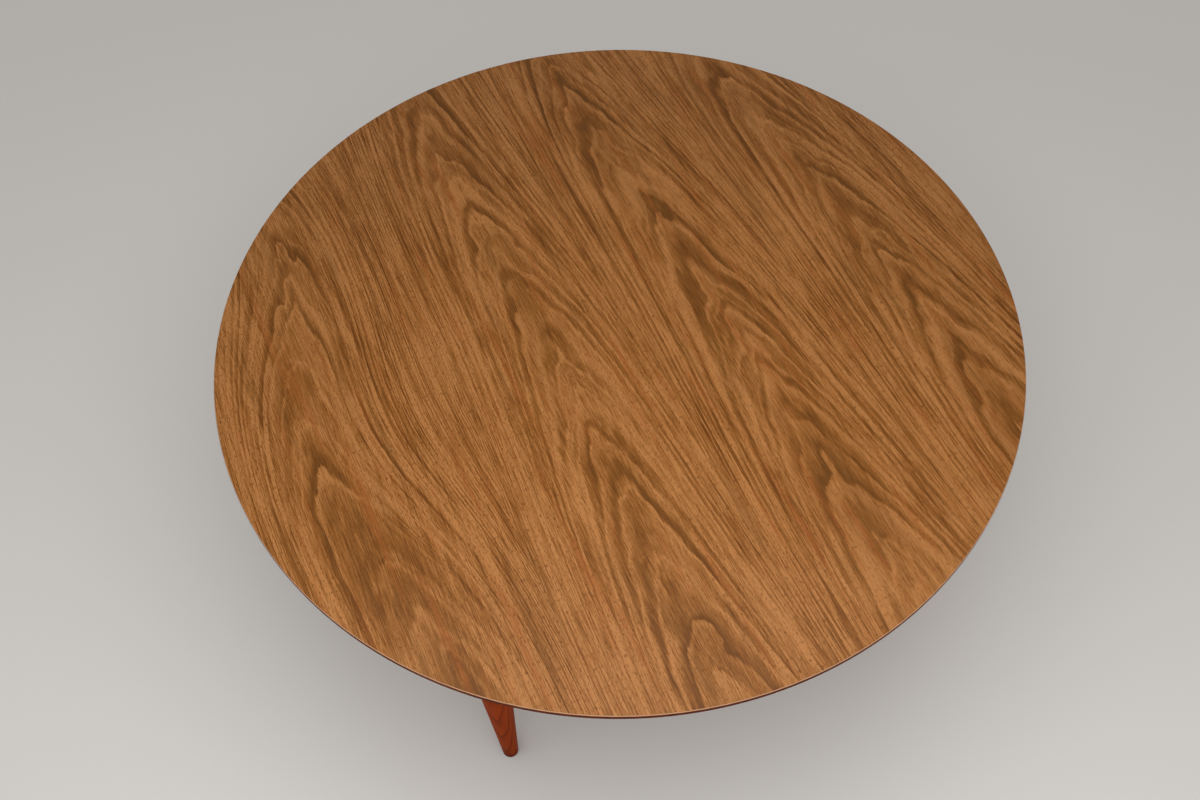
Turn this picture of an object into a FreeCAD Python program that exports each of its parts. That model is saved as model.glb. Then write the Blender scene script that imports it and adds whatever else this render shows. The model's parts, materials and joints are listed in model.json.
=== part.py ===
import FreeCAD, Part
import os
import re

import Sketcher

# Round coffee table. A laminate-faced round top, lipped with solid wood that is bevelled underneath to
# a thin edge, stands on four upright turned legs near its rim. Each leg is drawn up against a hardwood
# block by a hanger bolt in a pronged tee nut.
# Millimetres. The origin is on the floor under the middle of the top, +Z is up and -Y is the front.

SIZES = [
    ("top_diameter", 914.4, "across the round top"),
    ("table_height", 406.4, "floor to the upper face of the top"),
    ("laminate_thick", 1.6, "decorative sheet on the top"),
    ("laminate_bevel", 0.9, "radial width of the bevel filed round the decorative sheet"),
    ("core_thick", 16.0, "board inside the top"),
    ("backer_thick", 0.8, "balancing sheet under the board"),
    ("backer_setback", 1.0, "from the lipping to the balancing sheet"),
    ("lipping_width", 18.0, "radial width of the wooden lipping and its under-bevel"),
    ("edge_thick", 6.0, "upright edge left above the under-bevel"),
    ("leg_inset", 66.2, "rim of the top to each leg's axis"),
    ("leg_top_diameter", 36.5, "straight upper part of the leg"),
    ("leg_foot_diameter", 19.2, "leg at its foot"),
    ("leg_straight_length", 136.0, "straight upper part of the leg"),
    ("block_width", 60.0, "leg block across the table's radius"),
    ("block_outer_reach", 30.0, "leg's axis to the block's outer end"),
    ("block_inner_reach", 70.0, "leg's axis to the block's inner end"),
    ("block_thick", 18.0, "leg block"),
    ("block_chamfer", 4.0, "chamfer round the block's lower face"),
    ("bolt_diameter", 8.0, "hanger bolt"),
    ("bolt_leg_length", 33.0, "hanger bolt inside the leg"),
    ("bolt_top_room", 1.0, "left over the bolt's upper end"),
    ("bolt_clearance", 0.1, "round the bolt in the leg and the tee nut"),
    ("bore_room", 2.0, "past the bolt's lower end"),
    ("nut_base_side", 19.0, "square base of the tee nut"),
    ("nut_base_thick", 1.5, "square base of the tee nut"),
    ("nut_barrel_diameter", 10.0, "tee nut's barrel"),
    ("nut_barrel_length", 9.5, "tee nut's barrel below its base"),
    ("nut_clearance", 0.1, "round the tee nut's base and barrel in the block"),
    ("prong_width", 4.0, "tee nut's prong at its root"),
    ("prong_thick", 1.5, "tee nut's prong"),
    ("prong_length", 6.5, "tee nut's prong below the base"),
    ("pad_upper_diameter", 18.2, "pad where it is glued to the foot"),
    ("pad_lower_diameter", 15.8, "pad on the floor"),
    ("pad_height", 4.5, "pad under the foot"),
    ("cut_overrun", 2.0, "how far a cutter reaches past the face it starts from"),
]

# Legs and what goes with them, in quarter turns from the first station.
STATIONS = ("back_right", "back_left", "front_left", "front_right")
FIRST_STATION_ANGLE = 45
QUARTER_TURN = 90

# Levels, radii and half widths that follow from the sizes.
TOP_RADIUS = "(top_diameter / 2)"
LEG_CIRCLE_RADIUS = f"({TOP_RADIUS} - leg_inset)"
CORE_RADIUS = f"({TOP_RADIUS} - lipping_width)"
CORE_TOP = "(table_height - laminate_thick)"
CORE_BOTTOM = f"({CORE_TOP} - core_thick)"
UNDERSIDE = f"({CORE_BOTTOM} - backer_thick)"
BLOCK_BOTTOM = f"({UNDERSIDE} - block_thick)"
LEG_TOP_RADIUS = "(leg_top_diameter / 2)"
LEG_FOOT_RADIUS = "(leg_foot_diameter / 2)"
TAPER_TOP = f"({BLOCK_BOTTOM} - leg_straight_length)"
BOLT_RADIUS = "(bolt_diameter / 2)"
BOLT_BOTTOM = f"({BLOCK_BOTTOM} - bolt_leg_length)"
BOLT_TOP = f"({UNDERSIDE} - bolt_top_room)"
BARREL_RADIUS = "(nut_barrel_diameter / 2)"
HALF_NUT_BASE = "(nut_base_side / 2)"
NUT_SEAT = f"({UNDERSIDE} - nut_base_thick)"
PRONG_TIP = f"({NUT_SEAT} - prong_length)"

doc = FreeCAD.newDocument("CoffeeTable")


def make_sheet():
    """Put every size in the driving sheet: its name, its value under that alias, and what it is."""
    sheet = doc.addObject("Spreadsheet::Sheet", "Sizes")
    for row, (alias, size, meaning) in enumerate(SIZES, start=1):
        sheet.set(f"A{row}", alias)
        sheet.set(f"B{row}", str(size))
        sheet.set(f"C{row}", meaning)
        sheet.setAlias(f"B{row}", alias)
    doc.recompute()
    return sheet


sheet = make_sheet()
ALIAS_WORDS = re.compile(r"\b(" + "|".join(alias for alias, size, meaning in SIZES) + r")\b")


def sized(text):
    """The expression for a sum of sizes, with each alias read from the sheet."""
    return ALIAS_WORDS.sub(r"Sizes.\1", text)


def value(text):
    """The number that a sum of sizes comes to."""
    return float(sheet.evalExpression(sized(text)))


def bind(thing, name, text):
    thing.setExpression(name, sized(text))


def new_body(label, angle=0, radius="0"):
    """A body turned by angle about the table's axis and moved out along its own X by radius."""
    body = doc.addObject("PartDesign::Body", label)
    body.Label = label
    body.AllowCompound = True
    body.Placement = FreeCAD.Placement(
        FreeCAD.Vector(0, 0, 0),
        FreeCAD.Rotation(FreeCAD.Vector(0, 0, 1), angle),
    )
    bind(body, "Placement.Base.x", f"({radius}) * cos({angle})")
    bind(body, "Placement.Base.y", f"({radius}) * sin({angle})")
    return body


def new_sketch(body, name, role, right="0", up="0", out="0"):
    """A sketch on one of the body's own planes, with its origin shifted within and off that plane."""
    sketch = body.newObject("Sketcher::SketchObject", name)
    plane = next(item for item in body.Origin.OriginFeatures if item.Role == role)
    sketch.AttachmentSupport = (plane, [""])
    sketch.MapMode = "FlatFace"
    bind(sketch, "AttachmentOffset.Base.x", right)
    bind(sketch, "AttachmentOffset.Base.y", up)
    bind(sketch, "AttachmentOffset.Base.z", out)
    return sketch


def hold(sketch, geometry, point, direction, text):
    """Hold one point of a sketch's geometry at a bound distance from the sketch's origin."""
    size = value(text)
    if size == 0:
        axis = -2 if direction == "DistanceX" else -1
        sketch.addConstraint(Sketcher.Constraint("PointOnObject", geometry, point, axis))
        return
    if size > 0:
        ends = (-1, 1, geometry, point)
    else:
        ends = (geometry, point, -1, 1)
    index = sketch.addConstraint(Sketcher.Constraint(direction, *ends, abs(size)))
    bind(sketch, f"Constraints[{index}]", text if size > 0 else f"-({text})")


def outline(sketch, corners):
    """A closed outline of straight lines through corners (x, y), each given as sums of sizes."""
    spots = [FreeCAD.Vector(value(x), value(y), 0) for x, y in corners]
    lines = []
    for start, end in zip(spots, spots[1:] + spots[:1]):
        lines.append(sketch.addGeometry(Part.LineSegment(start, end), False))
    for index, (x, y) in enumerate(corners):
        sketch.addConstraint(Sketcher.Constraint("Coincident", lines[index - 1], 2, lines[index], 1))
        hold(sketch, lines[index], 1, "DistanceX", x)
        hold(sketch, lines[index], 1, "DistanceY", y)


def circle(sketch, radius):
    """A circle about the sketch's origin."""
    middle = FreeCAD.Vector(0, 0, 0)
    piece = sketch.addGeometry(Part.Circle(middle, FreeCAD.Vector(0, 0, 1), value(radius)), False)
    constraint = sketch.addConstraint(Sketcher.Constraint("Radius", piece, value(radius)))
    bind(sketch, f"Constraints[{constraint}]", radius)
    sketch.addConstraint(Sketcher.Constraint("Coincident", piece, 3, -1, 1))


def rectangle(sketch, left, right, lower, upper):
    """A rectangle between four sums of sizes."""
    outline(sketch, [(left, lower), (right, lower), (right, upper), (left, upper)])


def settle(body, feature, cuts=False):
    """Recompute with the feature as the body's tip, and stop if it took nothing away or added nothing."""
    body.Tip = feature
    doc.recompute()
    before = feature.BaseFeature.Shape.Volume if feature.BaseFeature else 0
    after = feature.Shape.Volume
    if (after >= before) if cuts else (after <= before):
        raise RuntimeError(f"{body.Label}: {feature.Name} changed nothing")
    return feature


def pad(body, name, sketch, length, upward=True):
    """A Pad from the sketch along its normal, or against it."""
    feature = body.newObject("PartDesign::Pad", name)
    feature.Profile = sketch
    feature.Reversed = not upward
    bind(feature, "Length", length)
    return settle(body, feature)


def pocket(body, name, sketch, length, upward=True):
    """A Pocket from the sketch along its normal, or against it."""
    feature = body.newObject("PartDesign::Pocket", name)
    feature.Profile = sketch
    feature.Reversed = upward
    bind(feature, "Length", length)
    return settle(body, feature, cuts=True)


def turn(body, name, sketch, angle=360):
    """A Revolution of the sketch about its own upright axis, half of the angle to each side."""
    feature = body.newObject("PartDesign::Revolution", name)
    feature.Profile = sketch
    feature.ReferenceAxis = (sketch, ["V_Axis"])
    feature.Angle = angle
    feature.Midplane = True
    return settle(body, feature)


def repeat_at_stations(body, name, originals):
    """Copies of features at every station, in equal turns about the body's Z axis."""
    pattern = body.newObject("PartDesign::PolarPattern", name)
    pattern.Originals = originals
    axis = next(item for item in body.Origin.OriginFeatures if item.Role == "Z_Axis")
    pattern.Axis = (axis, [""])
    pattern.Angle = 360
    pattern.Occurrences = len(STATIONS)
    return settle(body, pattern)


def prong_outline(sketch, clearance):
    """One prong seen square on: a root in the tee nut's base that narrows to a point below it."""
    outline(sketch, [
        ("0", f"({PRONG_TIP} - {clearance})"),
        (f"(prong_width / 2 + {clearance})", NUT_SEAT),
        (f"-(prong_width / 2 + {clearance})", NUT_SEAT),
    ])


def prongs(body, shape_feature, middle, clearance):
    """The tee nut's four prongs, or their slots, made by pad or pocket along each side of the base."""
    made = []
    thickness = f"(prong_thick + {clearance})"
    outer = f"({HALF_NUT_BASE} - prong_thick - {clearance})"
    for side, plane, right, near in (
        ("outer", "YZ_Plane", "0", f"{middle} + {outer}"),
        ("inner", "YZ_Plane", "0", f"{middle} - {HALF_NUT_BASE}"),
        ("left", "XZ_Plane", middle, outer),
        ("right", "XZ_Plane", middle, f"-{HALF_NUT_BASE}"),
    ):
        sketch = new_sketch(body, f"{side}_prong", plane, right=right, out=near)
        prong_outline(sketch, clearance)
        made.append(shape_feature(body, f"{side}_prong_body", sketch, thickness))
    return made


def make_laminate():
    """Decorative sheet over board and lipping, with a fine bevel filed round its rim."""
    body = new_body("top_laminate")
    section = new_sketch(body, "laminate_section", "XZ_Plane")
    outline(section, [
        ("0", CORE_TOP),
        (TOP_RADIUS, CORE_TOP),
        (f"({TOP_RADIUS} - laminate_bevel)", "table_height"),
        ("0", "table_height"),
    ])
    turn(body, "laminate_sheet", section)
    return body


def make_core():
    """Round board inside the top."""
    body = new_body("top_core")
    disc = new_sketch(body, "core_disc", "XY_Plane", out=CORE_BOTTOM)
    circle(disc, CORE_RADIUS)
    pad(body, "core_board", disc, "core_thick")
    return body


def make_backer():
    """Balancing sheet under the board."""
    body = new_body("top_backer")
    disc = new_sketch(body, "backer_disc", "XY_Plane", out=UNDERSIDE)
    circle(disc, f"{CORE_RADIUS} - backer_setback")
    pad(body, "backer_sheet", disc, "backer_thick")
    return body


def make_lipping(station, angle):
    """A quarter of the wooden lipping: an upright edge over a wide under-bevel."""
    body = new_body(f"edge_lipping_{station}", angle)
    section = new_sketch(body, "lipping_section", "XZ_Plane")
    outline(section, [
        (CORE_RADIUS, CORE_BOTTOM),
        (TOP_RADIUS, f"({CORE_TOP} - edge_thick)"),
        (TOP_RADIUS, CORE_TOP),
        (CORE_RADIUS, CORE_TOP),
    ])
    turn(body, "lipping_quarter", section, angle=QUARTER_TURN)
    return body


def make_block(station, angle):
    """Hardwood block glued under the top, let in for the tee nut and chamfered round its lower face."""
    body = new_body(f"leg_block_{station}", angle, LEG_CIRCLE_RADIUS)
    plan = new_sketch(body, "block_plan", "XY_Plane", out=UNDERSIDE)
    rectangle(plan, "-block_inner_reach", "block_outer_reach", "-(block_width / 2)", "(block_width / 2)")
    blank = pad(body, "block_blank", plan, "block_thick", upward=False)
    chamfer = body.newObject("PartDesign::Chamfer", "block_chamfering")
    lower = []
    for index, face in enumerate(blank.Shape.Faces, start=1):
        if abs(face.CenterOfMass.z - value(BLOCK_BOTTOM)) < 1e-6:
            lower.append(f"Face{index}")
    chamfer.Base = (blank, lower)
    bind(chamfer, "Size", "block_chamfer")
    settle(body, chamfer, cuts=True)
    hole = new_sketch(body, "barrel_circle", "XY_Plane", out=f"{UNDERSIDE} + cut_overrun")
    circle(hole, f"{BARREL_RADIUS} + nut_clearance")
    pocket(body, "barrel_hole", hole, "block_thick + 2 * cut_overrun", upward=False)
    seat = new_sketch(body, "nut_seat_square", "XY_Plane", out=NUT_SEAT)
    half_seat = f"({HALF_NUT_BASE} + nut_clearance)"
    rectangle(seat, f"-{half_seat}", half_seat, f"-{half_seat}", half_seat)
    pocket(body, "nut_seat", seat, "nut_base_thick + cut_overrun")
    prongs(body, pocket, "0", "nut_clearance")
    return body


def make_leg(station, angle):
    """Turned leg, straight at the top and then tapered to its foot, bored for the hanger bolt."""
    body = new_body(f"leg_{station}", angle, LEG_CIRCLE_RADIUS)
    section = new_sketch(body, "leg_section", "XZ_Plane")
    bore_radius = f"({BOLT_RADIUS} + bolt_clearance)"
    bore_end = f"({BOLT_BOTTOM} - bore_room)"
    outline(section, [
        ("0", "pad_height"),
        (LEG_FOOT_RADIUS, "pad_height"),
        (LEG_TOP_RADIUS, TAPER_TOP),
        (LEG_TOP_RADIUS, BLOCK_BOTTOM),
        (bore_radius, BLOCK_BOTTOM),
        (bore_radius, bore_end),
        ("0", bore_end),
    ])
    turn(body, "leg_turning", section)
    return body


def make_bolt(station, angle):
    """Hanger bolt, its wood end in the leg and its machine end in the tee nut."""
    body = new_body(f"hanger_bolt_{station}", angle, LEG_CIRCLE_RADIUS)
    shank = new_sketch(body, "bolt_circle", "XY_Plane", out=BOLT_BOTTOM)
    circle(shank, BOLT_RADIUS)
    pad(body, "bolt_shank", shank, f"{BOLT_TOP} - {BOLT_BOTTOM}")
    return body


def make_tee_nuts():
    """The four tee nuts: a square base on a barrel, with a prong bent down from each side."""
    body = new_body("tee_nuts", FIRST_STATION_ANGLE)
    bore_radius = f"({BOLT_RADIUS} + bolt_clearance)"
    base_plan = new_sketch(body, "nut_base_plan", "XY_Plane", right=LEG_CIRCLE_RADIUS, out=NUT_SEAT)
    rectangle(base_plan, f"-{HALF_NUT_BASE}", HALF_NUT_BASE, f"-{HALF_NUT_BASE}", HALF_NUT_BASE)
    circle(base_plan, bore_radius)
    base = pad(body, "nut_base", base_plan, "nut_base_thick")
    ring = new_sketch(body, "nut_barrel_ring", "XY_Plane", right=LEG_CIRCLE_RADIUS, out=NUT_SEAT)
    circle(ring, BARREL_RADIUS)
    circle(ring, bore_radius)
    barrel = pad(body, "nut_barrel", ring, "nut_barrel_length", upward=False)
    bent = prongs(body, pad, LEG_CIRCLE_RADIUS, "0")
    repeat_at_stations(body, "nut_set", [base, barrel] + bent)
    return body


def make_foot_pads():
    """The four round pads glued under the feet, each narrowing to the floor."""
    body = new_body("foot_pads", FIRST_STATION_ANGLE)
    section = new_sketch(body, "pad_section", "XZ_Plane", right=LEG_CIRCLE_RADIUS)
    outline(section, [
        ("0", "0"),
        ("(pad_lower_diameter / 2)", "0"),
        ("(pad_upper_diameter / 2)", "pad_height"),
        ("0", "pad_height"),
    ])
    foot_pad = turn(body, "foot_pad", section)
    repeat_at_stations(body, "pad_set", [foot_pad])
    return body


def make_table():
    """Every separate piece of the table, in bodies of their own or in sets of identical small pieces."""
    bodies = [make_laminate(), make_core(), make_backer(), make_tee_nuts(), make_foot_pads()]
    for turns, station in enumerate(STATIONS):
        angle = FIRST_STATION_ANGLE + turns * QUARTER_TURN
        bodies.extend(make(station, angle) for make in (make_lipping, make_block, make_leg, make_bolt))
    return bodies


def check(bodies):
    """Stop if any object failed, or if a piece has no valid shape."""
    doc.recompute()
    for item in doc.Objects:
        if "Invalid" in item.State or "Error" in item.State:
            raise RuntimeError(f"{item.Label} failed: {item.State}")
    for body in bodies:
        if body.Shape.isNull() or not body.Shape.isValid() or not body.Shape.Solids:
            raise RuntimeError(f"{body.Label} has no valid shape")


def write_parts(bodies):
    """Write each piece to a file of its own name."""
    os.makedirs("parts", exist_ok=True)
    for body in bodies:
        body.Shape.exportStep(f"parts/{body.Label}.step")
        print(body.Label, len(body.Shape.Solids), round(body.Shape.Volume))


table = make_table()
check(table)
write_parts(table)
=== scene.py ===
"""Round coffee table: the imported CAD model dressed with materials, light and a camera, in metres."""

import json
from collections import namedtuple
from math import cos, pi, radians, sin

import bmesh
import bpy
from mathutils import Matrix, Vector


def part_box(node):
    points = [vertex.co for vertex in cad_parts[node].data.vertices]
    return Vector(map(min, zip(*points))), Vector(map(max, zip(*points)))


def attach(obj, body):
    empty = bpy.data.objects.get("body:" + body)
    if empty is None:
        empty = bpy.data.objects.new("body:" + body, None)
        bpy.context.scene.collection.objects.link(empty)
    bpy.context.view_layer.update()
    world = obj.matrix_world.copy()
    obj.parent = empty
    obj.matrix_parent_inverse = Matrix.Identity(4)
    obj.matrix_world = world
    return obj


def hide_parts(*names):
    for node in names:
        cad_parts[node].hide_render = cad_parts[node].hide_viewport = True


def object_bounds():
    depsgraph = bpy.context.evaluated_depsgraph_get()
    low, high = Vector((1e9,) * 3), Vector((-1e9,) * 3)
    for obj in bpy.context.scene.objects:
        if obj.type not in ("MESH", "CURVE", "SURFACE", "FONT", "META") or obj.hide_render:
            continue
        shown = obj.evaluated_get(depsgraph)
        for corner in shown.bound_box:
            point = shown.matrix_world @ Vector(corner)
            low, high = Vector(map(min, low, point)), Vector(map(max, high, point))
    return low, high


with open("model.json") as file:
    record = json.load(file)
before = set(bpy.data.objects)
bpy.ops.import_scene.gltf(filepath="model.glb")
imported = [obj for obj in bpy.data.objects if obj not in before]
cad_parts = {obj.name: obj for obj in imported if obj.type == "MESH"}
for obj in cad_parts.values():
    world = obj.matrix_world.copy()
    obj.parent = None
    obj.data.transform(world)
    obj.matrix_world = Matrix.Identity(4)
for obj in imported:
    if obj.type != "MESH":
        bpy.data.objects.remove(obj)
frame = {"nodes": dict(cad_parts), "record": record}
cad_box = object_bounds()

MM = 0.001

# Legs, blocks and lipping quarters stand at these angles, in degrees
STATIONS = {"back_right": 45, "back_left": 135, "front_left": 225, "front_right": 315}

TOP_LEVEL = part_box("top_laminate")[1].z
TOP_RADIUS = cad_box[1].x


# Formulas in shader nodes

NOISE_STRETCH = 3


class Field:
    """An output of a shader node that can be used in sums and products."""

    def __init__(self, shader, socket):
        self.shader = shader
        self.socket = socket

    def __add__(self, other):
        return self.shader.math("ADD", self, other)

    def __sub__(self, other):
        return self.shader.math("SUBTRACT", self, other)

    def __mul__(self, other):
        return self.shader.math("MULTIPLY", self, other)

    def __truediv__(self, other):
        return self.shader.math("DIVIDE", self, other)

    def __pow__(self, other):
        return self.shader.math("POWER", self, other)

    def __radd__(self, other):
        return self.shader.math("ADD", other, self)

    def __rsub__(self, other):
        return self.shader.math("SUBTRACT", other, self)

    def above(self, level):
        return self.shader.math("GREATER_THAN", self, level)

    def at_least(self, level):
        return self.shader.math("MAXIMUM", self, level)

    def absolute(self):
        return self.shader.math("ABSOLUTE", self)

    def root(self):
        return self.shader.math("SQRT", self)

    def cosine(self):
        return self.shader.math("COSINE", self)

    def sine(self):
        return self.shader.math("SINE", self)

    def fraction(self):
        return self.shader.math("FRACT", self)

    def whole(self):
        return self.shader.math("FLOOR", self)

    def step(self, start, end):
        """0 before start, 1 after end, smooth between them."""
        node = self.shader.node("ShaderNodeMapRange", interpolation_type="SMOOTHSTEP")
        self.shader.feed(node.inputs["Value"], self)
        node.inputs["From Min"].default_value = start
        node.inputs["From Max"].default_value = end
        return Field(self.shader, node.outputs["Result"])


class Shader:
    """A new material with one Principled shader, whose colour and bump are worked out by formulas."""

    def __init__(self, name, **constants):
        self.material = bpy.data.materials.new(name)
        self.material.use_nodes = True
        self.tree = self.material.node_tree
        self.tree.nodes.clear()
        output = self.node("ShaderNodeOutputMaterial")
        self.principled = self.node("ShaderNodeBsdfPrincipled")
        self.tree.links.new(self.principled.outputs["BSDF"], output.inputs["Surface"])
        for socket, value in constants.items():
            self.principled.inputs[socket.replace("_", " ")].default_value = value

    def node(self, kind, **settings):
        made = self.tree.nodes.new(kind)
        for name, value in settings.items():
            setattr(made, name, value)
        return made

    def feed(self, socket, value):
        if isinstance(value, Field):
            self.tree.links.new(value.socket, socket)
        else:
            socket.default_value = value

    def math(self, operation, *values):
        node = self.node("ShaderNodeMath", operation=operation)
        for socket, value in zip(node.inputs, values):
            self.feed(socket, value)
        return Field(self, node.outputs["Value"])

    def millimetres(self):
        """The three object coordinates, which are the row frame's, in millimetres."""
        coordinates = self.node("ShaderNodeTexCoord")
        split = self.node("ShaderNodeSeparateXYZ")
        self.tree.links.new(coordinates.outputs["Object"], split.inputs["Vector"])
        return [Field(self, output) * (1 / MM) for output in split.outputs]

    def vector(self, *parts):
        node = self.node("ShaderNodeCombineXYZ")
        for socket, value in zip(node.inputs, parts):
            self.feed(socket, value)
        return Field(self, node.outputs["Vector"])

    def noise(self, *parts, detail=2.0, rough=0.5):
        """Smooth noise, mostly between -1 and 1, of one, two or three coordinates."""
        kinds = {1: "1D", 2: "2D", 3: "3D"}
        node = self.node("ShaderNodeTexNoise", noise_dimensions=kinds[len(parts)])
        node.inputs["Scale"].default_value = 1
        node.inputs["Detail"].default_value = detail
        node.inputs["Roughness"].default_value = rough
        if len(parts) == 1:
            self.feed(node.inputs["W"], parts[0])
        else:
            self.feed(node.inputs["Vector"], self.vector(*parts))
        return (Field(self, node.outputs["Fac"]) - 0.5) * NOISE_STRETCH

    def patches(self, point, size, **settings):
        """Noise whose patches are as wide as size, in millimetres along each coordinate of the point."""
        return self.noise(*(part / width for part, width in zip(point, size)), **settings)

    def chance(self, *parts):
        """A random number from 0 to 1 for each pair of whole numbers."""
        node = self.node("ShaderNodeTexWhiteNoise", noise_dimensions="2D")
        self.feed(node.inputs["Vector"], self.vector(*parts))
        return Field(self, node.outputs["Value"])

    def ramp(self, factor, stops):
        """A colour for each factor, from a list of places and colours."""
        node = self.node("ShaderNodeValToRGB")
        elements = node.color_ramp.elements
        while len(elements) < len(stops):
            elements.new(0.5)
        places, colours = zip(*stops)
        for element, place in zip(elements, places):
            element.position = place
        for element, colour in zip(elements, colours):
            element.color = (*colour, 1)
        self.feed(node.inputs["Fac"], factor)
        return Field(self, node.outputs["Color"])

    def split(self, colour):
        node = self.node("ShaderNodeSeparateColor")
        self.feed(node.inputs["Color"], colour)
        return [Field(self, output) for output in node.outputs]

    def mix(self, factor, first, second):
        node = self.node("ShaderNodeMix", data_type="RGBA")
        self.feed(node.inputs["Factor"], factor)
        colour_inputs = [socket for socket in node.inputs if socket.type == "RGBA"]
        for socket, value in zip(colour_inputs, (first, second)):
            self.feed(socket, value if isinstance(value, Field) else (*value, 1))
        colour_outputs = [socket for socket in node.outputs if socket.type == "RGBA"]
        return Field(self, colour_outputs[0])

    def colour(self, value):
        self.feed(self.principled.inputs["Base Color"], value)

    def roughness(self, value):
        self.feed(self.principled.inputs["Roughness"], value)

    def bump(self, height, distance):
        """The surface rises by distance, in millimetres, where height is 1."""
        node = self.node("ShaderNodeBump")
        node.inputs["Distance"].default_value = distance * MM
        self.feed(node.inputs["Height"], height)
        self.tree.links.new(node.outputs["Normal"], self.principled.inputs["Normal"])


# The laminate's walnut print: four columns of pointed arches side by side, as in sliced veneer

# Sizes and places are in millimetres across and along the grain. A column's middle leans and sways as it runs
# along, and a tip is the point of an arch, with how dark that arch's edge is
Column = namedtuple("Column", "middle lean sway sway_centre tips")
Tip = namedtuple("Tip", "place dark")

COLUMNS = [
    Column(-340, 0, -25, -25, [
        Tip(-405, 0.4), Tip(-330, 0.7), Tip(-230, 0.8), Tip(-150, 0.4), Tip(-25, 1.0), Tip(45, 0.5),
        Tip(115, 0.3), Tip(190, 0.8), Tip(235, 0.6), Tip(290, 0.8), Tip(360, 0.4), Tip(430, 0.6)]),
    Column(-83, 0, 5, 0, [
        Tip(-410, 0.4), Tip(-345, 0.9), Tip(-260, 0.3), Tip(-185, 0.9), Tip(-112, 0.9), Tip(-50, 0.3),
        Tip(0, 0.6), Tip(117, 0.8), Tip(175, 0.3), Tip(235, 1.0), Tip(300, 0.3), Tip(350, 0.8),
        Tip(425, 0.5)]),
    Column(117, -0.035, 4, 0, [
        Tip(-400, 0.4), Tip(-350, 0.5), Tip(-252, 1.0), Tip(-185, 0.7), Tip(-110, 0.4), Tip(-80, 0.6),
        Tip(-28, 0.6), Tip(35, 0.8), Tip(135, 1.0), Tip(210, 0.3), Tip(300, 0.7), Tip(385, 1.0),
        Tip(440, 0.5)]),
    Column(322, -0.07, 5, 0, [
        Tip(-400, 0.4), Tip(-300, 0.4), Tip(-200, 0.8), Tip(-115, 0.7), Tip(-30, 0.9), Tip(25, 0.4),
        Tip(115, 1.0), Tip(180, 0.3), Tip(240, 0.6), Tip(320, 0.8), Tip(390, 0.5)]),
]
PRINT_TURN = radians(0.63)
PRINT_REACH = 500
SEAMS = [-205, 12, 215]
SEAM_WAVE_LENGTH = 160
SEAM_WAVE_REACH = 10

# Each pair says how far from a column's axis a change begins and ends
HEART_FADE = (10, 60)
CROWN_FADE = (5, 35)
SWAY_FADE = (30, 150)
SWAY_LENGTH = 630
SWAY_LOSS = 0.7

# The arches: rounded tips, flanks that steepen outwards, and irregularities with their widths and reaches
TIP_ROUNDING = 3
FLANK_SLOPE = 2.6
FLANK_STEEPENING = 0.00055
WAVER_LENGTH = 55
WAVER_REACH = 5
FAN_LENGTH = 170
FAN_SHARE = 0.25
KINK_SIZE = (20, 60)
KINK_IN_HEART = 11
KINK_IN_CROWN = 15
JAG_SIZE = (7, 18)
JAG_IN_HEART = 1.5
JAG_IN_CROWN = 3
FRAY_SIZE = (1.4, 60)
FRAY_REACH = 3.5

# The rings: one from tip to tip, and beyond the print's reach one in every FAR_RING
RINGS_IN_RAMP = 16
LAST_DARK = 0.9
FAR_RING = 70
FAR_WAVE_LENGTH = 120
FAR_WAVE = 0.35
FAR_FADING = 0.5

# Each pair says at which shares of a ring a change begins and ends
TORN_START = (0, 0.06)
SOFT_START = (0, 0.4)
EDGE_FADE = (-0.05, 0.8)
SMOKE_FADE = (0.1, 1.0)
RIM_START = (0.72, 0.93)
RIM_END = (0.95, 1.0)

# Where rings have torn edges, and how far one side of an arch, chosen by luck, is darker than the other
TORN_SIZE = (28, 75)
TORN_LIMITS = (-0.4, 0.4)
FAVOUR_FADE = (-30, 30)
FAVOUR_SPAN = 3

# Lines and patches of the grain: width and length, and how much each one lightens or darkens
STRANDS_PER_RING = 1.7
STRAND_LENGTH = 300
GLEAMS_PER_RING = 0.8
GLEAM_LENGTH = 380
GLEAM_NARROWING = 5
STREAK_SIZE = (8, 500)
BAND_SIZE = (20, 420)
FIBRE_SIZE = (1.1, 30)
CLOUD_SIZE = (35, 120)
PORE_SIZE = (1.0, 5)
PORE_LIMITS = (0.2, 0.8)
TONE_MIDDLE = 0.66
EDGE_WEIGHT = 0.48
SMOKE_WEIGHT = 0.22
RIM_WEIGHT = 0.18
FIBRE_WEIGHT = 0.52
CLOUD_WEIGHT = 0.20
BAND_WEIGHT = 0.10

# Each pair gives a weight in the straight grain and one in the heart of a column
GLEAM_WEIGHTS = (0.38, 0.20)
STRAND_WEIGHTS = (0.44, 0.32)
STREAK_WEIGHTS = (0.40, 0.12)
PORE_WEIGHTS = (0.78, 0.58)

WALNUT_DARK = (0.129, 0.039, 0.003)
WALNUT_MIDDLE = (0.266, 0.095, 0.016)
WALNUT_LIGHT = (0.446, 0.186, 0.054)
WALNUT_RED = (0.326, 0.092, 0.016)
WALNUT_OLIVE = (0.151, 0.061, 0.010)
HUE_SIZE = (11, 200)
HUE_LIMITS = (0.1, 1.0)
RED_SHARE = 0.55
OLIVE_SHARE = 0.35
SMOKE_OLIVE_SHARE = 0.45

# The rim's bevel cuts through the print: a painted highlight in light tan above, paper brown at its foot,
# with depths below the top
BEVEL_HIGHLIGHT_TAN = (0.68, 0.38, 0.22)
PAPER_BROWN = (0.13, 0.045, 0.015)
HIGHLIGHT_FROM = (0.05, 0.25)
PAPER_FROM = (1.0, 1.4)
BEVEL_FIBRE_LIMITS = (-0.5, 0.8)
BEVEL_FIBRE_SHARE = 0.3

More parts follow.
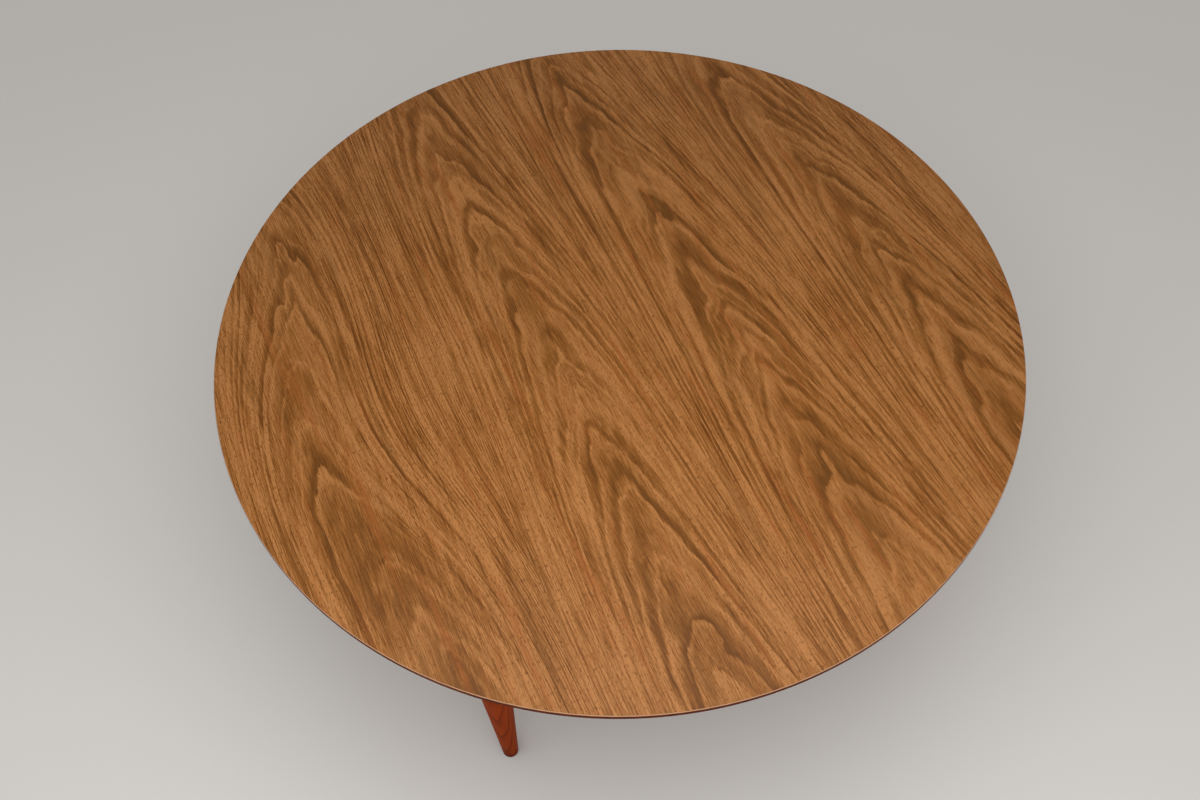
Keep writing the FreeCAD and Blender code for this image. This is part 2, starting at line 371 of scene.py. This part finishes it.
WEAR_SIZE = (130, 130)
WEAR_ROUGHNESS = 0.03
PORE_ROUGHNESS = 0.1
LAMINATE_ROUGHNESS = 0.36
FIBRE_RELIEF = 0.2
PRINT_RELIEF = 0.04

# Where a point lies: across and along the grain, past which seams, in which column, how far aside of the
# column's axis, and how much in the column's heart, from 0 to 1
Spot = namedtuple("Spot", "across along switches column signed heart")


def column_axis(column, across, along):
    """Where a column's middle lies across the grain; lines far from it follow its sway only a little."""
    sway = ((along - column.sway_centre) * (2 * pi / SWAY_LENGTH)).cosine() * column.sway
    near = 1 - (across - column.middle).absolute().step(*SWAY_FADE) * SWAY_LOSS
    return sway * near + along * column.lean + column.middle


def choose(choices, switches):
    """The first choice before the first switch, and the next one after each switch."""
    chosen = choices[0]
    for switch, before, after in zip(switches, choices, choices[1:]):
        chosen = chosen + switch * (after - before)
    return chosen


def find_spot(shader, across, along):
    """The column of a point and its place in that column."""
    seam_wave = shader.noise(along / SEAM_WAVE_LENGTH, detail=1) * SEAM_WAVE_REACH
    switches = [(across + seam_wave).above(seam) for seam in SEAMS]
    signed = across - choose([column_axis(column, across, along) for column in COLUMNS], switches)
    heart = 1 - signed.absolute().step(*HEART_FADE)
    return Spot(across, along, switches, sum(switches), signed, heart)


def grain(shader, spot, size, **settings):
    """Noise whose patches are as wide and as long as size, in millimetres across and along the grain."""
    return shader.patches((spot.across, spot.along), size, **settings)


def fade(spot, straight, heart):
    """A weight that changes from the straight grain to the heart of a column."""
    return straight - spot.heart * (straight - heart)


def arch_tip(shader, spot):
    """Where along its column the arch through a point has its tip; each column has noise of its own."""
    waver = shader.noise(spot.along / WAVER_LENGTH, spot.column * 3, detail=1)
    own_side = spot.column * 5 + spot.signed.above(0) * 2.3
    fan = shader.noise(spot.along / FAN_LENGTH, own_side, detail=1)
    aside = (spot.signed + waver * spot.heart * WAVER_REACH).absolute()
    aside = aside * (1 + fan * spot.heart * FAN_SHARE)
    spread = (aside * aside + TIP_ROUNDING ** 2).root() * FLANK_SLOPE + (aside ** 3) * FLANK_STEEPENING
    crown = 1 - spot.signed.absolute().step(*CROWN_FADE)
    kink = grain(shader, spot, KINK_SIZE, detail=2) * (spot.heart * KINK_IN_HEART + crown * KINK_IN_CROWN)
    jag = grain(shader, spot, JAG_SIZE, detail=2, rough=0.6)
    jag = jag * (spot.heart * JAG_IN_HEART + crown * JAG_IN_CROWN)
    fray = grain(shader, spot, FRAY_SIZE, detail=1) * FRAY_REACH
    return spot.along + spread + kink + jag + fray


def ring_stops(column):
    """Ramp stops that carry the ring's number in red and how dark its edge is in green."""
    stops = [(0, (0, column.tips[0].dark, 0))]
    for number, tip in enumerate(column.tips):
        place = (tip.place + PRINT_REACH) / (2 * PRINT_REACH)
        stops.append((place, ((number + 1) / RINGS_IN_RAMP, tip.dark, 0)))
    stops.append((1, ((len(column.tips) + 1) / RINGS_IN_RAMP, LAST_DARK, 0)))
    return stops


def find_ring(shader, spot, tip):
    """The number of the ring whose arch has its tip there, with a fraction, and how dark its edge is."""
    place = (tip + PRINT_REACH) / (2 * PRINT_REACH)
    ramps = [shader.split(shader.ramp(place, ring_stops(column))) for column in COLUMNS]
    number = choose([ramp[0] for ramp in ramps], spot.switches) * RINGS_IN_RAMP
    dark = choose([ramp[1] for ramp in ramps], spot.switches)
    far = (tip - PRINT_REACH).at_least(0) / FAR_RING
    past_reach = far.step(0, 1)
    number = number + far + shader.noise(tip / FAR_WAVE_LENGTH, detail=1) * past_reach * FAR_WAVE
    luck = shader.chance(number.whole(), spot.column)
    return number, dark * (1 - past_reach * luck * FAR_FADING)


def ring_shading(shader, spot, number, dark):
    """A ring's dark edge, the smoke behind it in a column's heart, and the light line at its end."""
    ring = number.fraction()
    torn = grain(shader, spot, TORN_SIZE, detail=2).step(*TORN_LIMITS)
    start = ring.step(*TORN_START) * torn + ring.step(*SOFT_START) * (1 - torn)
    luck = shader.chance(number.whole(), spot.column + 7) - 0.5
    favour = 1 + luck * (spot.signed.step(*FAVOUR_FADE) - 0.5) * FAVOUR_SPAN
    edge = (1 - ring.step(*EDGE_FADE)) * start * dark * favour
    smoke = (dark ** 2) * spot.heart * (1 - ring.step(*SMOKE_FADE)) * start * favour
    inner_rim = ring.step(*RIM_START) * (1 - ring.step(*RIM_END))
    return edge, smoke, inner_rim


def make_walnut_laminate():
    shader = Shader("walnut_laminate", Specular_IOR_Level=0.16)
    x, y, height = shader.millimetres()
    across = x * cos(PRINT_TURN) + y * sin(PRINT_TURN)
    along = y * cos(PRINT_TURN) - x * sin(PRINT_TURN)
    spot = find_spot(shader, across, along)
    number, dark = find_ring(shader, spot, arch_tip(shader, spot))
    edge, smoke, inner_rim = ring_shading(shader, spot, number, dark)

    strand_row = number * STRANDS_PER_RING + spot.column * 9
    strands = shader.noise(strand_row, along / STRAND_LENGTH, detail=3, rough=0.6)
    gleam_row = number * GLEAMS_PER_RING + spot.column * 4
    lines = shader.noise(gleam_row, along / GLEAM_LENGTH, detail=1)
    gleam = (1 - lines.absolute() * GLEAM_NARROWING).at_least(0)
    streaks = grain(shader, spot, STREAK_SIZE, detail=3, rough=0.7)
    bands = grain(shader, spot, BAND_SIZE, detail=1)
    fibres = grain(shader, spot, FIBRE_SIZE, detail=2, rough=0.6)
    clouds = grain(shader, spot, CLOUD_SIZE, detail=2)
    tone = TONE_MIDDLE - edge * EDGE_WEIGHT - smoke * SMOKE_WEIGHT + inner_rim * RIM_WEIGHT
    tone = tone + gleam * fade(spot, *GLEAM_WEIGHTS)
    tone = tone + strands * fade(spot, *STRAND_WEIGHTS) + streaks * fade(spot, *STREAK_WEIGHTS)
    tone = tone + fibres * FIBRE_WEIGHT + clouds * CLOUD_WEIGHT + bands * BAND_WEIGHT

    wood = shader.ramp(tone, [(0.0, WALNUT_DARK), (0.5, WALNUT_MIDDLE), (1.0, WALNUT_LIGHT)])
    hue = grain(shader, spot, HUE_SIZE, detail=2)
    wood = shader.mix(hue.step(*HUE_LIMITS) * RED_SHARE, wood, WALNUT_RED)
    wood = shader.mix((hue * -1).step(*HUE_LIMITS) * OLIVE_SHARE, wood, WALNUT_OLIVE)
    wood = shader.mix(smoke * SMOKE_OLIVE_SHARE, wood, WALNUT_OLIVE)
    pores = grain(shader, spot, PORE_SIZE, detail=1).step(*PORE_LIMITS)
    wood = shader.mix(pores * fade(spot, *PORE_WEIGHTS), wood, WALNUT_DARK)

    depth = TOP_LEVEL / MM - height
    # Painted highlight: the upper part of the bevel is light tan, with the paper brown below it
    tan = shader.mix(fibres.step(*BEVEL_FIBRE_LIMITS) * BEVEL_FIBRE_SHARE, BEVEL_HIGHLIGHT_TAN, WALNUT_LIGHT)
    bevel_colours = shader.mix(depth.step(*PAPER_FROM), tan, PAPER_BROWN)
    shader.colour(shader.mix(depth.step(*HIGHLIGHT_FROM), wood, bevel_colours))
    wear = grain(shader, spot, WEAR_SIZE, detail=3)
    shader.roughness(LAMINATE_ROUGHNESS + wear * WEAR_ROUGHNESS + pores * PORE_ROUGHNESS)
    shader.bump(fibres * FIBRE_RELIEF - pores, PRINT_RELIEF)
    return shader.material


# Solid woods: rings and fibres between a dark and a light colour, with sizes in millimetres

Wood = namedtuple(
    "Wood", "dark light middle ring_width ring_weight fibre_weight roughness fibre_roughness relief")

LEG_WOOD = Wood(
    dark=(0.14, 0.016, 0.001), light=(0.50, 0.070, 0.005), middle=0.55, ring_width=5,
    ring_weight=0.4, fibre_weight=0.16, roughness=0.5, fibre_roughness=0.03, relief=0.03)
LIPPING_WOOD = Wood(
    dark=(0.050, 0.006, 0.001), light=(0.21, 0.030, 0.003), middle=0.55, ring_width=6,
    ring_weight=0.4, fibre_weight=0.2, roughness=0.38, fibre_roughness=0.04, relief=0.03)
BLOCK_WOOD = Wood(
    dark=(0.30, 0.17, 0.08), light=(0.55, 0.37, 0.20), middle=0.6, ring_width=5,
    ring_weight=0.3, fibre_weight=0.2, roughness=0.5, fibre_roughness=0.04, relief=0.04)
STAIN_GLOSS = 0.01
BLOCK_GLOSS = 0.4

LEG_PITH_X = -60
LEG_PITH_Y = 35
LEG_RING_LEAN = 0.03
LEG_BEND_SIZE = (40, 40, 160)
LEG_BEND_REACH = 3
LEG_FIBRE_SIZE = (0.7, 0.7, 30)
LEG_CLOUD_SIZE = (20, 20, 120)
LEG_CLOUD_WEIGHT = 0.15
# These two darken the leg towards its foot: painted shade where it stands near the floor
LEG_FOOT_SHADE_FADE = (4, 26)
LEG_FOOT_SHADE_WEIGHT = 0.6

LIPPING_RING_LEAN = 0.4
LIPPING_BEND_SIZE = (30, 160)
LIPPING_BEND_REACH = 4
LIPPING_FIBRE_SIZE = (0.8, 35, 0.8)

BLOCK_RING_LEAN = 0.6
BLOCK_BEND_SIZE = (60, 30)
BLOCK_BEND_REACH = 3
BLOCK_FIBRE_SIZE = (30, 0.8, 0.8)
BLOCK_FLECK_SIZE = (3, 0.7, 0.7)
BLOCK_FLECK_LIMITS = (0.7, 1.1)
BLOCK_FLECK_WEIGHT = 0.25


def finish_wood(shader, wood, distance, fibres, tone_shift):
    """Rings along a distance, in millimetres, and fibres; the tone shift, which for the legs holds painted
    shade at the foot, is added to the tone.
    """
    ring = (distance / wood.ring_width).fraction()
    tone = wood.middle - (ring ** 3) * wood.ring_weight + fibres * wood.fibre_weight + tone_shift
    shader.colour(shader.ramp(tone, [(0, wood.dark), (1, wood.light)]))
    shader.roughness(wood.roughness + fibres * wood.fibre_roughness)
    shader.bump(fibres, wood.relief)
    return shader.material


def make_leg_wood():
    """Stained wood with upright grain, cut beside the pith, so that rings show as arches and as lines."""
    shader = Shader("leg_wood", Specular_IOR_Level=STAIN_GLOSS)
    x, y, z = shader.millimetres()
    aside_x = x - LEG_PITH_X
    aside_y = y - LEG_PITH_Y
    bend = shader.patches((x, y, z), LEG_BEND_SIZE, detail=2) * LEG_BEND_REACH
    from_pith = (aside_x * aside_x + aside_y * aside_y).root() + z * LEG_RING_LEAN + bend
    fibres = shader.patches((x, y, z), LEG_FIBRE_SIZE, detail=2)
    clouds = shader.patches((x, y, z), LEG_CLOUD_SIZE, detail=1)
    # Painted shade: the leg gets darker towards its foot, near the floor
    painted_foot_shade = 1 - z.step(*LEG_FOOT_SHADE_FADE)
    tone_shift = clouds * LEG_CLOUD_WEIGHT - painted_foot_shade * LEG_FOOT_SHADE_WEIGHT
    return finish_wood(shader, LEG_WOOD, from_pith, fibres, tone_shift)


def quarter_frame(shader, x, y):
    """Coordinates out of and along the quarter of the table round a point, and the quarter's turn."""
    turn = (shader.math("ARCTAN2", y, x) / (pi / 2)).whole() * (pi / 2) + pi / 4
    out = x * turn.cosine() + y * turn.sine()
    along = y * turn.cosine() - x * turn.sine()
    return out, along, turn


def quarter_bend(shader, out, along, row, size):
    """How far the rings bend, by noise in which each quarter has a row of its own."""
    return shader.patches((out, along, row), (*size, 1), detail=2)


def make_lipping_wood():
    shader = Shader("lipping_wood", Specular_IOR_Level=STAIN_GLOSS)
    x, y, z = shader.millimetres()
    out, along, turn = quarter_frame(shader, x, y)
    bend = quarter_bend(shader, out, along, turn * 7, LIPPING_BEND_SIZE) * LIPPING_BEND_REACH
    fibres = shader.patches((out, along, z), LIPPING_FIBRE_SIZE, detail=2)
    return finish_wood(shader, LIPPING_WOOD, out + z * LIPPING_RING_LEAN + bend, fibres, 0)


def make_block_wood():
    shader = Shader("block_wood", Specular_IOR_Level=BLOCK_GLOSS)
    x, y, z = shader.millimetres()
    out, along, turn = quarter_frame(shader, x, y)
    bend = quarter_bend(shader, out, along, turn * 5, BLOCK_BEND_SIZE) * BLOCK_BEND_REACH
    fibres = shader.patches((out, along, z), BLOCK_FIBRE_SIZE, detail=2)
    flecks = shader.patches((out, along, z), BLOCK_FLECK_SIZE, detail=0).step(*BLOCK_FLECK_LIMITS)
    tone_shift = flecks * -BLOCK_FLECK_WEIGHT
    return finish_wood(shader, BLOCK_WOOD, along + z * BLOCK_RING_LEAN + bend, fibres, tone_shift)


# Board, sheet, metal and rubber: a mottle between a dark and a light colour, with sizes in millimetres

BOARD_DARK = (0.30, 0.18, 0.09)
BOARD_LIGHT = (0.66, 0.47, 0.28)
BOARD_CHIP_SIZE = (2.5, 2.5, 1.2)
SHEET_DARK = (0.10, 0.052, 0.028)
SHEET_LIGHT = (0.21, 0.125, 0.072)
SHEET_SPECKLE_SIZE = (1.5, 1.5)
SHEET_CLOUD_SIZE = (120, 120)
ZINC_DARK = (0.45, 0.45, 0.43)
ZINC_LIGHT = (0.70, 0.71, 0.70)
ZINC_SPANGLE_SIZE = (3, 3, 3)
RUBBER_DARK = (0.010, 0.009, 0.008)
RUBBER_LIGHT = (0.045, 0.040, 0.035)
RUBBER_DUST_SIZE = (2, 2, 2)


def finish_mottle(shader, tone, pattern, dark, light, relief):
    """Dark where the tone is 0 and light where it is 1; relief is the pattern's, in millimetres."""
    shader.colour(shader.ramp(tone, [(0, dark), (1, light)]))
    shader.bump(pattern, relief)
    return shader.material


def make_core_board():
    shader = Shader("core_board", Roughness=0.85)
    chips = shader.patches(shader.millimetres(), BOARD_CHIP_SIZE, detail=3, rough=0.7)
    return finish_mottle(shader, 0.5 + chips * 0.35, chips, BOARD_DARK, BOARD_LIGHT, 0.15)


def make_backing_sheet():
    shader = Shader("backing_sheet", Specular_IOR_Level=0.35)
    flat_place = shader.millimetres()[:2]
    speckle = shader.patches(flat_place, SHEET_SPECKLE_SIZE, detail=3, rough=0.7)
    cloud = shader.patches(flat_place, SHEET_CLOUD_SIZE, detail=3)
    shader.roughness(0.62 + cloud * 0.05)
    tone = 0.5 + speckle * 0.18 + cloud * 0.2
    return finish_mottle(shader, tone, speckle, SHEET_DARK, SHEET_LIGHT, 0.05)


def make_zinc_steel():
    shader = Shader("zinc_steel", Metallic=1.0)
    spangle = shader.patches(shader.millimetres(), ZINC_SPANGLE_SIZE, detail=3)
    shader.roughness(0.34 + spangle * 0.08)
    return finish_mottle(shader, 0.5 + spangle * 0.3, spangle, ZINC_DARK, ZINC_LIGHT, 0.02)


def make_pad_rubber():
    shader = Shader("pad_rubber", Specular_IOR_Level=0.3)
    dust = shader.patches(shader.millimetres(), RUBBER_DUST_SIZE, detail=3)
    shader.roughness(0.75 + dust * 0.08)
    return finish_mottle(shader, 0.5 + dust * 0.4, dust, RUBBER_DARK, RUBBER_LIGHT, 0.05)


materials = {
    "walnut_laminate": make_walnut_laminate(),
    "lipping_wood": make_lipping_wood(),
    "leg_wood": make_leg_wood(),
    "block_wood": make_block_wood(),
    "core_board": make_core_board(),
    "backing_sheet": make_backing_sheet(),
    "zinc_steel": make_zinc_steel(),
    "pad_rubber": make_pad_rubber(),
}

for subpart in frame["record"]["subparts"]:
    mesh = frame["nodes"][subpart["node"]].data
    mesh.materials.clear()
    mesh.materials.append(materials[subpart["material_slot"]])


# Lipping, legs and blocks again with eased edges and rounder curves, each in place of its plain solid

# A point at 1.5 times the reach on each side of an eased corner keeps the shading of the flats flat
EASING_STEPS = 5
SUPPORT_REACH = 1.5
SHARP_ANGLE = radians(35)
WELD = 0.001 * MM

LIPPING_WIDTH = 18 * MM
UPRIGHT_EDGE = 6 * MM
LOWER_ARRIS = 0.9 * MM
UPPER_ARRIS = 0.25 * MM
LIPPING_STEPS = 60

LEG_TOP_RADIUS = 18.25 * MM
LEG_FOOT_RADIUS = 9.6 * MM
LEG_STRAIGHT = 136 * MM
LEG_BLEND = 28 * MM
LEG_FOOT_EASING = 0.5 * MM
LEG_TOP_EASING = 0.9 * MM
BORE_RADIUS = 4.1 * MM
BORE_DEPTH = 35 * MM
LEG_STEPS = 72

NUT_REACH = 20 * MM
BLOCK_EASING = 0.8 * MM
BLOCK_EASING_STEPS = 3
BLOCK_TOP_MARGIN = MM
FLAT_ANGLE = radians(1)
EASED_ANGLE = radians(25)


def eased(corners):
    """Points round an outline of corners given as (radius, level, reach), each eased within its reach."""
    points = []
    for index, (radius, level, reach) in enumerate(corners):
        corner = Vector((radius, level))
        if reach == 0:
            points.append(corner)
            continue
        back = (Vector(corners[index - 1][:2]) - corner).normalized() * reach
        on = (Vector(corners[(index + 1) % len(corners)][:2]) - corner).normalized() * reach
        points.append(corner + back * SUPPORT_REACH)
        for step in range(EASING_STEPS + 1):
            way = step / EASING_STEPS
            points.append(corner + back * (1 - way) ** 2 + on * way ** 2)
        points.append(corner + on * SUPPORT_REACH)
    return points


def finish_piece(name, shape, slot, node):
    """The bmesh becomes an object that takes the place of a CAD node."""
    bmesh.ops.recalc_face_normals(shape, faces=shape.faces)
    mesh = bpy.data.meshes.new(name)
    shape.to_mesh(mesh)
    shape.free()
    mesh.shade_smooth()
    mesh.set_sharp_from_angle(angle=SHARP_ANGLE)
    mesh.materials.append(materials[slot])
    piece = bpy.data.objects.new(name, mesh)
    bpy.context.scene.collection.objects.link(piece)
    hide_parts(node)
    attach(piece, "root")


def swing(outline, middle, start, sweep, steps):
    """An outline of (radius, level) points swung about the upright line through middle."""
    shape = bmesh.new()
    rows = []
    for step in range(steps + 1):
        turn = start + sweep * step / steps
        out = Vector((cos(turn), sin(turn), 0))
        places = [middle + out * point.x + Vector((0, 0, point.y)) for point in outline]
        rows.append([shape.verts.new(place) for place in places])
    for row, next_row in zip(rows, rows[1:]):
        for index in range(len(outline)):
            if outline[index].x > 0 or outline[index - 1].x > 0:
                shape.faces.new((row[index - 1], row[index], next_row[index], next_row[index - 1]))
    if sweep < 2 * pi:
        shape.faces.new(rows[0])
        shape.faces.new(rows[-1])
    bmesh.ops.remove_doubles(shape, verts=shape.verts, dist=WELD)
    return shape


def leg_axis(station):
    """Where the station's leg stands."""
    low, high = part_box("leg_" + station)
    return (low.x + high.x) / 2, (low.y + high.y) / 2


def make_lipping(station, angle):
    node = "edge_lipping_" + station
    low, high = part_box(node)
    outline = eased([
        (TOP_RADIUS - LIPPING_WIDTH, low.z, 0),
        (TOP_RADIUS, high.z - UPRIGHT_EDGE, LOWER_ARRIS),
        (TOP_RADIUS, high.z, UPPER_ARRIS),
        (TOP_RADIUS - LIPPING_WIDTH, high.z, 0),
    ])
    shape = swing(outline, Vector(), radians(angle - 45), pi / 2, LIPPING_STEPS)
    finish_piece("lipping_" + station, shape, "lipping_wood", node)


def make_leg(station):
    node = "leg_" + station
    low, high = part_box(node)
    outline = eased([
        (0, low.z, 0),
        (LEG_FOOT_RADIUS, low.z, LEG_FOOT_EASING),
        (LEG_TOP_RADIUS, high.z - LEG_STRAIGHT, LEG_BLEND),
        (LEG_TOP_RADIUS, high.z, LEG_TOP_EASING),
        (BORE_RADIUS, high.z, 0),
        (BORE_RADIUS, high.z - BORE_DEPTH, 0),
        (0, high.z - BORE_DEPTH, 0),
    ])
    shape = swing(outline, Vector((*leg_axis(station), 0)), 0, 2 * pi, LEG_STEPS)
    finish_piece("turned_leg_" + station, shape, "leg_wood", node)


def make_block(station):
    """The block's solid with its outer edges eased, but not those at the tee nut or under the top."""
    node = "leg_block_" + station
    axis = Vector(leg_axis(station))
    eased_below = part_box(node)[1].z - BLOCK_TOP_MARGIN
    shape = bmesh.new()
    shape.from_mesh(frame["nodes"][node].data)
    bmesh.ops.remove_doubles(shape, verts=shape.verts, dist=WELD)
    bmesh.ops.dissolve_limit(shape, angle_limit=FLAT_ANGLE, verts=shape.verts, edges=shape.edges)
    outer = []
    for edge in shape.edges:
        aside = min((vert.co.xy - axis).length for vert in edge.verts)
        level = (edge.verts[0].co.z + edge.verts[1].co.z) / 2
        if aside > NUT_REACH and level < eased_below and edge.calc_face_angle() > EASED_ANGLE:
            outer.append(edge)
    bmesh.ops.bevel(shape, geom=outer, offset=BLOCK_EASING, segments=BLOCK_EASING_STEPS, profile=0.5,
                    affect="EDGES")
    finish_piece("block_" + station, shape, "block_wood", node)


for station, angle in STATIONS.items():
    make_lipping(station, angle)
    make_leg(station)
    make_block(station)


# Floor, camera and light; places of the camera and the lamps have y straight away from the photographer

FLOOR_HALF = 20.0
FLOOR_PALE = (0.86, 0.84, 0.81, 1)

PHOTO_HEADING = radians(-22.57)
CAMERA_ASIDE = -0.0227
CAMERA_BACK = -0.8342
CAMERA_ABOVE_TOP = 1.1374
CAMERA_DIP = radians(57.2239)
CAMERA_ROLL = radians(1.8527)
FOCAL_PIXELS = 1232.71
PHOTO_WIDTH = 1200
SENSOR = 36.0

WORLD_COLOUR = (1.0, 0.985, 0.97, 1)
WORLD_STRENGTH = 0.46

Lamp = namedtuple("Lamp", "name place target width depth watts")

LAMPS = [
    Lamp("overhead", (0, -0.70, 1.36), (0, -0.93, TOP_LEVEL), 1.0, 1.4, 9.8),
    Lamp("front_left", (-1.9, -1.1, 1.5), (0, 0, TOP_LEVEL), 0.9, 0.9, 2),
]


def make_floor():
    mesh = bpy.data.meshes.new("floor")
    corners = [(-FLOOR_HALF, -FLOOR_HALF, 0), (FLOOR_HALF, -FLOOR_HALF, 0), (FLOOR_HALF, FLOOR_HALF, 0),
               (-FLOOR_HALF, FLOOR_HALF, 0)]
    mesh.from_pydata(corners, [], [(0, 1, 2, 3)])
    floor = bpy.data.objects.new("floor", mesh)
    bpy.context.scene.collection.objects.link(floor)
    shader = Shader("floor", Base_Color=FLOOR_PALE, Roughness=0.8, Specular_IOR_Level=0.1)
    mesh.materials.append(shader.material)


def from_photo(x, y, z):
    """A point given with y straight away from the photographer, in the row frame."""
    return Matrix.Rotation(PHOTO_HEADING, 4, "Z") @ Vector((x, y, z))


def make_camera():
    data = bpy.data.cameras.new("camera")
    data.sensor_width = SENSOR
    data.lens = SENSOR * FOCAL_PIXELS / PHOTO_WIDTH
    camera = bpy.data.objects.new("camera", data)
    bpy.context.scene.collection.objects.link(camera)
    place = from_photo(CAMERA_ASIDE, CAMERA_BACK, TOP_LEVEL + CAMERA_ABOVE_TOP)
    heading = Matrix.Rotation(PHOTO_HEADING, 4, "Z")
    dip = Matrix.Rotation(pi / 2 - CAMERA_DIP, 4, "X")
    roll = Matrix.Rotation(-CAMERA_ROLL, 4, "Z")
    camera.matrix_world = Matrix.Translation(place) @ heading @ dip @ roll
    bpy.context.scene.camera = camera


def make_world():
    world = bpy.data.worlds.new("studio")
    bpy.context.scene.world = world
    world.use_nodes = True
    nodes = world.node_tree.nodes
    nodes.clear()
    output = nodes.new("ShaderNodeOutputWorld")
    surroundings = nodes.new("ShaderNodeBackground")
    surroundings.inputs["Color"].default_value = WORLD_COLOUR
    surroundings.inputs["Strength"].default_value = WORLD_STRENGTH
    world.node_tree.links.new(surroundings.outputs["Background"], output.inputs["Surface"])


def make_lamp(lamp):
    data = bpy.data.lights.new(lamp.name, "AREA")
    data.shape = "RECTANGLE"
    data.size = lamp.width
    data.size_y = lamp.depth
    data.energy = lamp.watts
    light = bpy.data.objects.new(lamp.name, data)
    light.visible_camera = False
    bpy.context.scene.collection.objects.link(light)
    place = from_photo(*lamp.place)
    aim = (from_photo(*lamp.target) - place).to_track_quat("-Z", "Y").to_matrix().to_4x4()
    light.matrix_world = Matrix.Translation(place) @ aim


make_floor()
make_camera()
make_world()
for lamp in LAMPS:
    make_lamp(lamp)

scene = bpy.context.scene
scene.view_settings.view_transform = "Standard"
